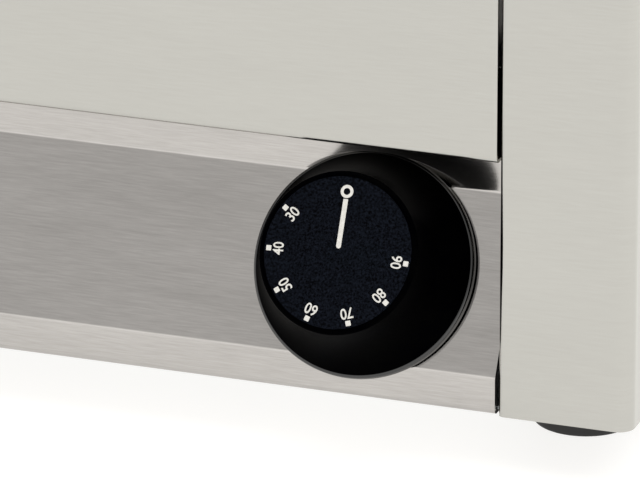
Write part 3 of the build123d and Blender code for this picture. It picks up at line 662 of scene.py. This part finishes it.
class DialSettings(bpy.types.PropertyGroup):
    """Sizes of the printing on the dial."""

    tick_radius: bpy.props.FloatProperty(
        name="Tick radius",
        description="Distance of the square ticks from the dial's centre",
        default=21.8 * MM,
        unit="LENGTH",
    )
    tick_size: bpy.props.FloatProperty(
        name="Tick size", description="Side of a square tick", default=1.6 * MM, unit="LENGTH"
    )
    number_radius: bpy.props.FloatProperty(
        name="Number radius",
        description="Distance of the numbers' middles from the dial's centre",
        default=18.8 * MM,
        unit="LENGTH",
    )
    number_height: bpy.props.FloatProperty(
        name="Number height", description="Height of a figure", default=3.4 * MM, unit="LENGTH"
    )
    number_width: bpy.props.FloatProperty(
        name="Number width",
        description="Width of a pair of figures",
        default=3.9 * MM,
        unit="LENGTH",
    )
    first_angle: bpy.props.FloatProperty(
        name="First number",
        description="Angle of the first number, anticlockwise from the ring",
        default=math.radians(58.0),
        subtype="ANGLE",
    )
    step_angle: bpy.props.FloatProperty(
        name="Step",
        description="Angle between numbers",
        default=math.radians(35.0),
        subtype="ANGLE",
    )
    first_number: bpy.props.IntProperty(
        name="First value", description="Lowest temperature on the dial", default=30
    )
    number_step: bpy.props.IntProperty(
        name="Value step",
        description="From one temperature on the dial to the next",
        default=10,
    )
    number_count: bpy.props.IntProperty(
        name="Numbers", description="How many temperatures the dial shows", default=7
    )
    ring_place: bpy.props.FloatProperty(
        name="Ring place",
        description="Distance of the off ring from the dial's centre",
        default=18.7 * MM,
        unit="LENGTH",
    )
    ring_radius: bpy.props.FloatProperty(
        name="Ring radius",
        description="Outer radius of the off ring",
        default=2.0 * MM,
        unit="LENGTH",
    )
    ring_stroke: bpy.props.FloatProperty(
        name="Ring stroke",
        description="Width of the off ring's line",
        default=0.95 * MM,
        unit="LENGTH",
    )
    pointer_start: bpy.props.FloatProperty(
        name="Pointer start",
        description="Distance of the pointer's inner end from the centre",
        default=1.3 * MM,
        unit="LENGTH",
    )
    pointer_end: bpy.props.FloatProperty(
        name="Pointer end",
        description="Distance of the pointer's outer end from the centre",
        default=16.4 * MM,
        unit="LENGTH",
    )
    pointer_width: bpy.props.FloatProperty(
        name="Pointer width",
        description="Width of the pointer line",
        default=1.5 * MM,
        unit="LENGTH",
    )
    ink_height: bpy.props.FloatProperty(
        name="Ink height",
        description="Thickness of the printing",
        default=0.04 * MM,
        unit="LENGTH",
    )


class KnobSettings(bpy.types.PropertyGroup):
    """Sizes of the knob, as heights above the sloping panel and distances from its axis."""

    face_radius: bpy.props.FloatProperty(
        name="Face radius",
        description="Outer radius of the face",
        default=25.0 * MM,
        unit="LENGTH",
    )
    face_edge: bpy.props.FloatProperty(
        name="Face edge",
        description="Rounding of the face's edge",
        default=1.0 * MM,
        unit="LENGTH",
    )
    dial_play: bpy.props.FloatProperty(
        name="Dial play",
        description="Gap round the dial in its recess",
        default=0.2 * MM,
        unit="LENGTH",
    )
    dial_depth: bpy.props.FloatProperty(
        name="Dial depth",
        description="Depth of the dial's recess",
        default=0.6 * MM,
        unit="LENGTH",
    )
    skirt_radius: bpy.props.FloatProperty(
        name="Skirt radius",
        description="Radius of the skirt above the rim",
        default=34.1 * MM,
        unit="LENGTH",
    )
    skirt_flare: bpy.props.FloatProperty(
        name="Skirt flare",
        description="How far the skirt's side bows in from a straight cone",
        default=1.8 * MM,
        unit="LENGTH",
    )
    rim_radius: bpy.props.FloatProperty(
        name="Rim radius",
        description="Outer radius of the buffed rim",
        default=35.0 * MM,
        unit="LENGTH",
    )
    rim_top: bpy.props.FloatProperty(
        name="Rim top",
        description="Height of the buffed rim's top",
        default=3.8 * MM,
        unit="LENGTH",
    )
    rim_foot: bpy.props.FloatProperty(
        name="Rim foot",
        description="Gap between the rim and the panel",
        default=1.2 * MM,
        unit="LENGTH",
    )
    rim_bevel: bpy.props.FloatProperty(
        name="Rim bevel",
        description="Bevel of the rim's upper edge",
        default=0.7 * MM,
        unit="LENGTH",
    )
    rim_crown: bpy.props.FloatProperty(
        name="Rim crown",
        description="How far the bevel bows out",
        default=0.14 * MM,
        unit="LENGTH",
    )
    wall: bpy.props.FloatProperty(
        name="Wall", description="Thickness of the skirt", default=2.2 * MM, unit="LENGTH"
    )
    hub_radius: bpy.props.FloatProperty(
        name="Hub radius",
        description="Radius of the hub on the shaft",
        default=6.5 * MM,
        unit="LENGTH",
    )
    hub_foot: bpy.props.FloatProperty(
        name="Hub foot",
        description="Height where the hub ends",
        default=6.0 * MM,
        unit="LENGTH",
    )
    bore_radius: bpy.props.FloatProperty(
        name="Bore radius",
        description="Radius of the shaft's bore",
        default=3.05 * MM,
        unit="LENGTH",
    )
    bore_roof: bpy.props.FloatProperty(
        name="Bore roof",
        description="Distance from the face to the bore's end",
        default=2.8 * MM,
        unit="LENGTH",
    )


class FastenerSettings(bpy.types.PropertyGroup):
    """Sizes of the casing's M4 pan-head screws."""

    head_radius: bpy.props.FloatProperty(
        name="Head radius", description="Radius of the head", default=3.5 * MM, unit="LENGTH"
    )
    head_height: bpy.props.FloatProperty(
        name="Head height", description="Height of the head", default=2.2 * MM, unit="LENGTH"
    )
    shank_radius: bpy.props.FloatProperty(
        name="Shank radius", description="Radius of the shank", default=2.0 * MM, unit="LENGTH"
    )
    recess_span: bpy.props.FloatProperty(
        name="Recess span",
        description="Length of each arm pair of the cross",
        default=3.8 * MM,
        unit="LENGTH",
    )
    recess_width: bpy.props.FloatProperty(
        name="Recess width",
        description="Width of the cross's arms",
        default=0.9 * MM,
        unit="LENGTH",
    )
    recess_depth: bpy.props.FloatProperty(
        name="Recess depth", description="Depth of the cross", default=1.3 * MM, unit="LENGTH"
    )
    stray_turn: bpy.props.FloatProperty(
        name="Stray turn",
        description="How far each screw stands turned from the one before it",
        default=math.radians(37.0),
        subtype="ANGLE",
    )


class FittingSettings(bpy.types.PropertyGroup):
    """Sizes of the details on the cable gland and the earth stud."""

    gland_radius: bpy.props.FloatProperty(
        name="Gland radius",
        description="Radius of the gland's cap",
        default=9.8 * MM,
        unit="LENGTH",
    )
    rib_count: bpy.props.IntProperty(
        name="Ribs", description="How many grip ribs the cap has", default=24
    )
    rib_width: bpy.props.FloatProperty(
        name="Rib width", description="Width of a rib", default=0.9 * MM, unit="LENGTH"
    )
    rib_start: bpy.props.FloatProperty(
        name="Rib start",
        description="Distance of the ribs from the mouth",
        default=4.0 * MM,
        unit="LENGTH",
    )
    rib_length: bpy.props.FloatProperty(
        name="Rib length", description="Length of a rib", default=5.8 * MM, unit="LENGTH"
    )
    seal_radius: bpy.props.FloatProperty(
        name="Seal radius",
        description="Outer radius of the seal",
        default=4.95 * MM,
        unit="LENGTH",
    )
    seal_hole: bpy.props.FloatProperty(
        name="Seal hole",
        description="Radius of the hole in the seal",
        default=3.4 * MM,
        unit="LENGTH",
    )
    seal_depth: bpy.props.FloatProperty(
        name="Seal depth", description="Length of the seal", default=6.0 * MM, unit="LENGTH"
    )
    seal_inset: bpy.props.FloatProperty(
        name="Seal inset",
        description="How far the seal sits in the mouth",
        default=1.0 * MM,
        unit="LENGTH",
    )
    stud_radius: bpy.props.FloatProperty(
        name="Stud radius",
        description="Outer radius of the thread",
        default=3.0 * MM,
        unit="LENGTH",
    )
    shoulder_radius: bpy.props.FloatProperty(
        name="Shoulder radius",
        description="Radius of the stud's shoulder",
        default=4.0 * MM,
        unit="LENGTH",
    )
    stud_head: bpy.props.FloatProperty(
        name="Stud head",
        description="Height of the stud's hexagon",
        default=5.0 * MM,
        unit="LENGTH",
    )
    thread_pitch: bpy.props.FloatProperty(
        name="Thread pitch", description="Pitch of the thread", default=1.0 * MM, unit="LENGTH"
    )
    thread_depth: bpy.props.FloatProperty(
        name="Thread depth", description="Depth of the thread", default=0.45 * MM, unit="LENGTH"
    )


class StageSettings(bpy.types.PropertyGroup):
    """The camera and the studio."""

    azimuth: bpy.props.FloatProperty(
        name="Azimuth",
        description="How far round to the right of the front the camera stands",
        default=math.radians(19.5),
        subtype="ANGLE",
    )
    elevation: bpy.props.FloatProperty(
        name="Elevation",
        description="How high the camera stands above the front",
        default=math.radians(20.99),
        subtype="ANGLE",
    )
    distance: bpy.props.FloatProperty(
        name="Distance",
        description="From the camera to the front",
        default=2.413,
        unit="LENGTH",
    )
    picture_width: bpy.props.FloatProperty(
        name="Picture width",
        description="Width of the picture at that distance",
        default=193.6 * MM,
        unit="LENGTH",
    )
    aim_right: bpy.props.FloatProperty(
        name="Aim right",
        description="Middle of the picture to the right of the front post's lower inner corner",
        default=-53.77 * MM,
        unit="LENGTH",
    )
    aim_up: bpy.props.FloatProperty(
        name="Aim up",
        description="Middle of the picture above the front post's lower inner corner",
        default=53.25 * MM,
        unit="LENGTH",
    )
    room_light: bpy.props.FloatProperty(
        name="Room light", description="Brightness of the upper room", default=0.74
    )
    wall_light: bpy.props.FloatProperty(
        name="Wall light", description="Brightness of the white walls, low down", default=1.45
    )
    table_light: bpy.props.FloatProperty(
        name="Table light", description="Light that comes through the table", default=0.85
    )
    key_power: bpy.props.FloatProperty(
        name="Key power", description="Power of the overhead softbox, in watts", default=30.0
    )
    side_power: bpy.props.FloatProperty(
        name="Side power",
        description="Power of the softbox at the right, in watts",
        default=5.0,
    )


# Pieces


def printed_square(side, thickness, matrix):
    """A printed square whose corners are rounded by an eighth of its side."""
    square = add_primitive(bpy.ops.mesh.primitive_plane_add, size=side)
    open_mesh(square, "VERT")
    bpy.ops.mesh.select_all(action="SELECT")
    bpy.ops.mesh.bevel(offset=side / 8, segments=3, affect="VERTICES")
    thicken((0, 0, thickness))
    set_place(square, matrix)
    return square


class BAINMARIE_OT_knob(bpy.types.Operator):
    """The black knob: a hollow flared shell with its hub, and the buffed rim round its foot"""

    bl_idname = "bainmarie.knob"
    bl_label = "Knob"

    def execute(self, context):
        knob = context.scene.bainmarie_knob
        top = reach("control_knob")
        roof = top - knob.bore_roof
        recess = knob.dial_play + max(
            (point.co - KNOB_CENTRE).cross(PANEL_NORMAL).length
            for point in NODES["dial_disc"].data.vertices
        )
        seat = knob.face_radius - knob.face_edge
        shell = [(recess, top - knob.dial_depth), (recess, top), (seat, top)]
        # A quarter round stands off its chord by this
        quarter_bow = knob.face_edge * (1 - math.sqrt(0.5))
        edge = (knob.face_radius, top - knob.face_edge)
        shell += bowed(shell[-1], edge, quarter_bow, FACE_EDGE_FACETS)
        skirt = (knob.skirt_radius, knob.rim_top)
        shell += bowed(edge, skirt, -knob.skirt_flare, FLARE_FACETS)
        inner = (knob.rim_radius - knob.wall, knob.rim_foot)
        shell += [(knob.skirt_radius, knob.rim_foot), inner]
        inner_top = (knob.face_radius - knob.wall, roof)
        shell += bowed(inner, inner_top, knob.skirt_flare, FLARE_FACETS)
        shell += [
            (knob.hub_radius, roof),
            (knob.hub_radius, knob.hub_foot),
            (knob.bore_radius, knob.hub_foot),
            (knob.bore_radius, roof),
        ]
        body = turned(shell, KNOB_FACETS, panel_frame(0))
        complete(body, "knob_shell", "knob", "phenolic")
        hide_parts("control_knob")

        shoulder = (knob.rim_radius - knob.rim_bevel, knob.rim_top)
        edge = (knob.rim_radius, knob.rim_top - knob.rim_bevel)
        rim = [skirt, shoulder, *bowed(shoulder, edge, knob.rim_crown, RIM_FACETS)]
        rim += [(knob.rim_radius, knob.rim_foot), (knob.skirt_radius, knob.rim_foot), skirt]
        ring = turned(rim, KNOB_FACETS, panel_frame(0))
        complete(ring, "knob_rim", "knob", "buffed_phenolic")
        return {"FINISHED"}


def cross_screw(fastener, depth):
    """A pan-head screw along +Z: its head stands on the origin, its shank hangs below.

    The head has a small flat on top, a crowned slope down to its brim and a cross recess.
    """
    flat = (fastener.head_radius / 8, fastener.head_height)
    brim = (fastener.head_radius, fastener.head_height / 3)
    profile = [flat, *bowed(flat, brim, fastener.head_height / 5, HEAD_FACETS)]
    profile += [(fastener.head_radius, 0), (fastener.shank_radius, 0)]
    profile += [(fastener.shank_radius, -depth)]
    screw = turned(profile, FASTENER_FACETS, Matrix.Identity(4))
    for turn in (0, math.pi / 2):
        blade = add_primitive(bpy.ops.mesh.primitive_cube_add, size=1)
        size = (fastener.recess_span, fastener.recess_width, 2 * fastener.recess_depth, 1)
        lift = Matrix.Translation((0, 0, fastener.head_height))
        set_place(blade, lift @ Matrix.Rotation(turn, 4, "Z") @ Matrix.Diagonal(size))
        apply_modifier(screw, "BOOLEAN", object=blade, operation="DIFFERENCE", solver="EXACT")
        bpy.data.objects.remove(blade)
    return screw


def facing(place, way, turn=0.0):
    """The frame at a place whose +Z points a way, turned about it."""
    rows = way.to_track_quat("Z", "Y").to_matrix().to_4x4()
    return Matrix.Translation(place) @ rows @ Matrix.Rotation(turn, 4, "Z")


class BAINMARIE_OT_screws(bpy.types.Operator):
    """Cross-recessed screws in the base and the rear panel"""

    bl_idname = "bainmarie.screws"
    bl_label = "Screws"

    def execute(self, context):
        fastener = context.scene.bainmarie_fastener
        for node, way in (
            ("base_screws", DOWN),
            ("front_screws", DOWN),
            ("rear_screws", BACK),
        ):
            group = []
            for index, (low, high) in enumerate(solids_of(node)):
                middle = (low + high) / 2
                half = abs((high - low).dot(way)) / 2
                seat = middle + way * (half - fastener.head_height)
                screw = cross_screw(fastener, 2 * half - fastener.head_height)
                set_place(screw, facing(seat, way, index * fastener.stray_turn))
                group.append(screw)
            screws = join_pieces(group)
            complete(screws, f"{node}_crossed", "casing", "bright_zinc")
            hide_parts(node)
        return {"FINISHED"}


class BAINMARIE_OT_inlet(bpy.types.Operator):
    """Grip ribs and rubber seal of the cable gland"""

    bl_idname = "bainmarie.inlet"
    bl_label = "Cable inlet"

    def execute(self, context):
        fitting = context.scene.bainmarie_fitting
        low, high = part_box("cable_gland")
        middle = (low + high) / 2
        axis = facing(Vector((middle.x, high.y, middle.z)), BACK)
        ribs = []
        for index in range(fitting.rib_count):
            rib = add_primitive(bpy.ops.mesh.primitive_cube_add, size=1)
            size = (fitting.rib_width, fitting.rib_width, fitting.rib_length, 1)
            depth = fitting.rib_start + fitting.rib_length / 2
            out = Matrix.Translation((fitting.gland_radius, 0, -depth))
            turn = Matrix.Rotation(math.tau * index / fitting.rib_count, 4, "Z")
            set_place(rib, axis @ turn @ out @ Matrix.Diagonal(size))
            apply_modifier(rib, "BEVEL", width=fitting.rib_width / 5, segments=2)
            ribs.append(rib)
        complete(join_pieces(ribs), "gland_ribs", "casing", "black_nylon")
        profile = [
            (fitting.seal_hole, -fitting.seal_depth),
            (fitting.seal_hole, 0),
            (fitting.seal_radius, 0),
            (fitting.seal_radius, -fitting.seal_depth),
            (fitting.seal_hole, -fitting.seal_depth),
        ]
        inset = Matrix.Translation((0, 0, -fitting.seal_inset))
        seal = turned(profile, SEAL_FACETS, axis @ inset)
        complete(seal, "gland_seal", "casing", "rubber")
        return {"FINISHED"}


class BAINMARIE_OT_stud(bpy.types.Operator):
    """The earth stud with its thread"""

    bl_idname = "bainmarie.stud"
    bl_label = "Earth stud"

    def execute(self, context):
        fitting = context.scene.bainmarie_fitting
        low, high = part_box("earth_stud")
        middle = (low + high) / 2
        axis = facing(Vector((middle.x, high.y, middle.z)), BACK)
        outer, root = fitting.stud_radius, fitting.stud_radius - fitting.thread_depth
        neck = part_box("earth_nut")[1].y - high.y
        rear = low.y + fitting.stud_head - high.y
        pitch = fitting.thread_pitch
        profile = [(root - fitting.thread_depth, 0)]
        for index in range(int(-neck / pitch)):
            top = -(index + 1 / 4) * pitch
            profile += [(root, top), (outer, top - pitch / 4)]
            profile += [(outer, top - pitch / 2), (root, top - 3 * pitch / 4)]
        profile += [(outer, neck), (fitting.shoulder_radius, neck)]
        profile += [(fitting.shoulder_radius, rear)]
        shank = turned(profile, FASTENER_FACETS, axis)
        corner = (high.x - low.x) / 2
        hexagon = [(corner, rear), (corner, rear - fitting.stud_head)]
        head = turned(hexagon, 6, axis)
        stud = join_pieces([shank, head])
        complete(stud, "threaded_stud", "casing", "turned_stainless")
        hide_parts("earth_stud")
        return {"FINISHED"}


class BAINMARIE_OT_dial_ticks(bpy.types.Operator):
    """Square ticks round the dial, one for each temperature"""

    bl_idname = "bainmarie.dial_ticks"
    bl_label = "Dial ticks"

    def execute(self, context):
        dial = context.scene.bainmarie_dial
        ticks = []
        for index in range(dial.number_count):
            angle = dial.first_angle + index * dial.step_angle
            place = dial_place(angle, dial.tick_radius)
            ticks.append(printed_square(dial.tick_size, dial.ink_height, place))
        complete(join_pieces(ticks), "dial_ticks", "knob", "ink")
        return {"FINISHED"}


class BAINMARIE_OT_dial_numbers(bpy.types.Operator):
    """Plain numbers round the dial, their tops outwards"""

    bl_idname = "bainmarie.dial_numbers"
    bl_label = "Dial numbers"

    def execute(self, context):
        dial = context.scene.bainmarie_dial
        numbers = []
        for index in range(dial.number_count):
            text = add_primitive(bpy.ops.object.text_add)
            text.data.body = str(dial.first_number + dial.number_step * index)
            text.data.align_x = "CENTER"
            text.data.align_y = "CENTER"
            text.data.offset = FIGURE_WEIGHT
            text.data.resolution_u = FIGURE_STEPS
            bpy.ops.object.convert(target="MESH")
            box = [Vector(corner) for corner in text.bound_box]
            low = Vector([min(corner[axis] for corner in box) for axis in range(3)])
            high = Vector([max(corner[axis] for corner in box) for axis in range(3)])
            width = dial.number_width / (high.x - low.x)
            height = dial.number_height / (high.y - low.y)
            fit = Matrix.Diagonal((width, height, 1, 1))
            centre = Matrix.Translation(-(low + high) / 2)
            angle = dial.first_angle + index * dial.step_angle
            set_place(text, dial_place(angle, dial.number_radius) @ fit @ centre)
            open_mesh(text, "FACE")
            thicken(PANEL_NORMAL * dial.ink_height)
            numbers.append(text)
        complete(join_pieces(numbers), "dial_numbers", "knob", "ink")
        return {"FINISHED"}


class BAINMARIE_OT_dial_ring(bpy.types.Operator):
    """The ring that marks the off place"""

    bl_idname = "bainmarie.dial_ring"
    bl_label = "Off ring"

    def execute(self, context):
        dial = context.scene.bainmarie_dial
        ring = add_primitive(
            bpy.ops.mesh.primitive_circle_add,
            vertices=RING_FACETS,
            radius=dial.ring_radius,
            fill_type="NGON",
        )
        open_mesh(ring, "FACE")
        bpy.ops.mesh.select_all(action="SELECT")
        bpy.ops.mesh.inset(thickness=dial.ring_stroke)
        bpy.ops.mesh.delete(type="FACE")
        thicken((0, 0, dial.ink_height))
        set_place(ring, dial_place(0, dial.ring_place))
        complete(ring, "dial_ring", "knob", "ink")
        return {"FINISHED"}


class BAINMARIE_OT_dial_pointer(bpy.types.Operator):
    """The white pointer line, round at its inner end"""

    bl_idname = "bainmarie.dial_pointer"
    bl_label = "Pointer line"

    def execute(self, context):
        dial = context.scene.bainmarie_dial
        length = dial.pointer_end - dial.pointer_start
        line = add_primitive(bpy.ops.mesh.primitive_plane_add, size=1)
        set_place(line, Matrix.Diagonal((dial.pointer_width, length, 1, 1)))
        open_mesh(line, "VERT")
        pick(line, lambda vertex: vertex.co.y < 0)
        bpy.ops.mesh.bevel(offset=dial.pointer_width / 2, segments=8, affect="VERTICES")
        pick(line, lambda vertex: vertex.co.y > length / 2 - dial.ink_height)
        bpy.ops.mesh.bevel(offset=dial.pointer_width / 10, segments=2, affect="VERTICES")
        bpy.ops.mesh.select_all(action="SELECT")
        bpy.ops.mesh.remove_doubles(threshold=dial.ink_height / 10)
        thicken((0, 0, dial.ink_height))
        set_place(line, dial_place(0, (dial.pointer_end + dial.pointer_start) / 2))
        complete(line, "dial_pointer", "knob", "ink")
        return {"FINISHED"}


class BAINMARIE_OT_finishes(bpy.types.Operator):
    """Gives each built part the finish of its real material"""

    bl_idname = "bainmarie.finishes"
    bl_label = "Finishes"

    def execute(self, context):
        FINISHES.update(make_finishes(context.scene.bainmarie_shades))
        for finish, nodes in NODE_FINISH.items():
            for name in nodes:
                node = NODES[name]
                node.data.materials.clear()
                node.data.materials.append(FINISHES[finish])
        return {"FINISHED"}


class BAINMARIE_OT_stage(bpy.types.Operator):
    """The camera, the floor and soft studio light"""

    bl_idname = "bainmarie.stage"
    bl_label = "Studio"

    def execute(self, context):
        stage = context.scene.bainmarie_stage
        scene = context.scene
        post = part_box("right_side_panel")[0].x
        corner = Vector((post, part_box("front_apron")[0].y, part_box("control_panel")[0].z))
        turn, rise = stage.azimuth, stage.elevation
        right = Vector((math.cos(turn), math.sin(turn), 0))
        level = Vector((-math.sin(turn), math.cos(turn), 0))
        ahead = level * math.cos(rise) + DOWN * math.sin(rise)
        above = right.cross(ahead)
        aim = corner + right * stage.aim_right + above * stage.aim_up
        lens = bpy.data.cameras.new("camera")
        camera = bpy.data.objects.new("camera", lens)
        scene.collection.objects.link(camera)
        camera.location = aim - ahead * stage.distance
        camera.rotation_euler = ahead.to_track_quat("-Z", "Y").to_euler()
        lens.lens = lens.sensor_width * stage.distance / stage.picture_width
        lens.clip_start = NEAREST
        lens.clip_end = FARTHEST
        scene.camera = camera

        floor = add_primitive(
            bpy.ops.mesh.primitive_circle_add,
            vertices=TABLE_FACETS,
            radius=TABLE_RADIUS,
            fill_type="NGON",
        )
        floor.name = "floor"
        opal, tree, shader = new_material("opal_acrylic", Roughness=0.7)
        cloud = grain(tree, (400.0, 400.0, 400.0))
        shade = ramp(tree, cloud, "#8A8987", "#8E8D8B")
        tree.links.new(shade, shader.inputs["Base Color"])
        shader.inputs["Emission Color"].default_value = colour("#FFFEFC")
        shader.inputs["Emission Strength"].default_value = stage.table_light
        floor.data.materials.append(opal)

        world = bpy.data.worlds.new("studio")
        world.use_nodes = True
        tree = world.node_tree
        tree.nodes.clear()
        way = add_node(tree, "ShaderNodeTexCoord").outputs["Generated"]
        lift = add_node(tree, "ShaderNodeSeparateXYZ", Vector=way).outputs["Z"]
        glow = add_node(
            tree,
            "ShaderNodeMapRange",
            {"interpolation_type": "SMOOTHSTEP"},
            _0=lift,
            _1=WALL_TOP,
            _2=ROOM_START,
            _3=stage.wall_light,
            _4=stage.room_light,
        ).outputs["Result"]
        sky = add_node(tree, "ShaderNodeBackground", Color=colour("#FFFEFC"), Strength=glow)
        add_node(tree, "ShaderNodeOutputWorld", Surface=sky.outputs["Background"])
        scene.world = world

        centre = Vector((0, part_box("front_apron")[0].y, 0))
        for name, power, size, place in (
            ("overhead_softbox", stage.key_power, OVERHEAD_SIDES, OVERHEAD_PLACE),
            ("side_softbox", stage.side_power, SIDE_SIDES, SIDE_PLACE),
        ):
            light = bpy.data.lights.new(name, "AREA")
            light.shape = "RECTANGLE"
            light.size, light.size_y = size
            light.energy = power
            holder = bpy.data.objects.new(name, light)
            scene.collection.objects.link(holder)
            holder.location = centre + place
            holder.rotation_euler = (-place).to_track_quat("-Z", "Y").to_euler()
        scene.view_settings.view_transform = "Standard"
        return {"FINISHED"}


class BAINMARIE_PT_panel(bpy.types.Panel):
    """Lists what can be made, in order"""

    bl_idname = "BAINMARIE_PT_panel"
    bl_label = "Bain-Marie"
    bl_space_type = "VIEW_3D"
    bl_region_type = "UI"
    bl_category = "Bain-Marie"

    def draw(self, context):
        for operator in OPERATORS:
            self.layout.operator(operator.bl_idname)


OPERATORS = (
    BAINMARIE_OT_finishes,
    BAINMARIE_OT_knob,
    BAINMARIE_OT_screws,
    BAINMARIE_OT_inlet,
    BAINMARIE_OT_stud,
    BAINMARIE_OT_dial_ticks,
    BAINMARIE_OT_dial_numbers,
    BAINMARIE_OT_dial_ring,
    BAINMARIE_OT_dial_pointer,
    BAINMARIE_OT_stage,
)
SETTINGS = {
    "bainmarie_shades": ShadeSettings,
    "bainmarie_dial": DialSettings,
    "bainmarie_knob": KnobSettings,
    "bainmarie_fastener": FastenerSettings,
    "bainmarie_fitting": FittingSettings,
    "bainmarie_stage": StageSettings,
}
CLASSES = (*SETTINGS.values(), *OPERATORS, BAINMARIE_PT_panel)


def register():
    for cls in CLASSES:
        bpy.utils.register_class(cls)
    for name, group in SETTINGS.items():
        setattr(bpy.types.Scene, name, bpy.props.PointerProperty(type=group))


def unregister():
    for name in SETTINGS:
        delattr(bpy.types.Scene, name)
    for cls in reversed(CLASSES):
        bpy.utils.unregister_class(cls)


def main():
    """Registers the add-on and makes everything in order."""
    register()
    for operator in OPERATORS:
        group, name = operator.bl_idname.split(".")
        getattr(getattr(bpy.ops, group), name)()


if __name__ == "__main__":
    main()
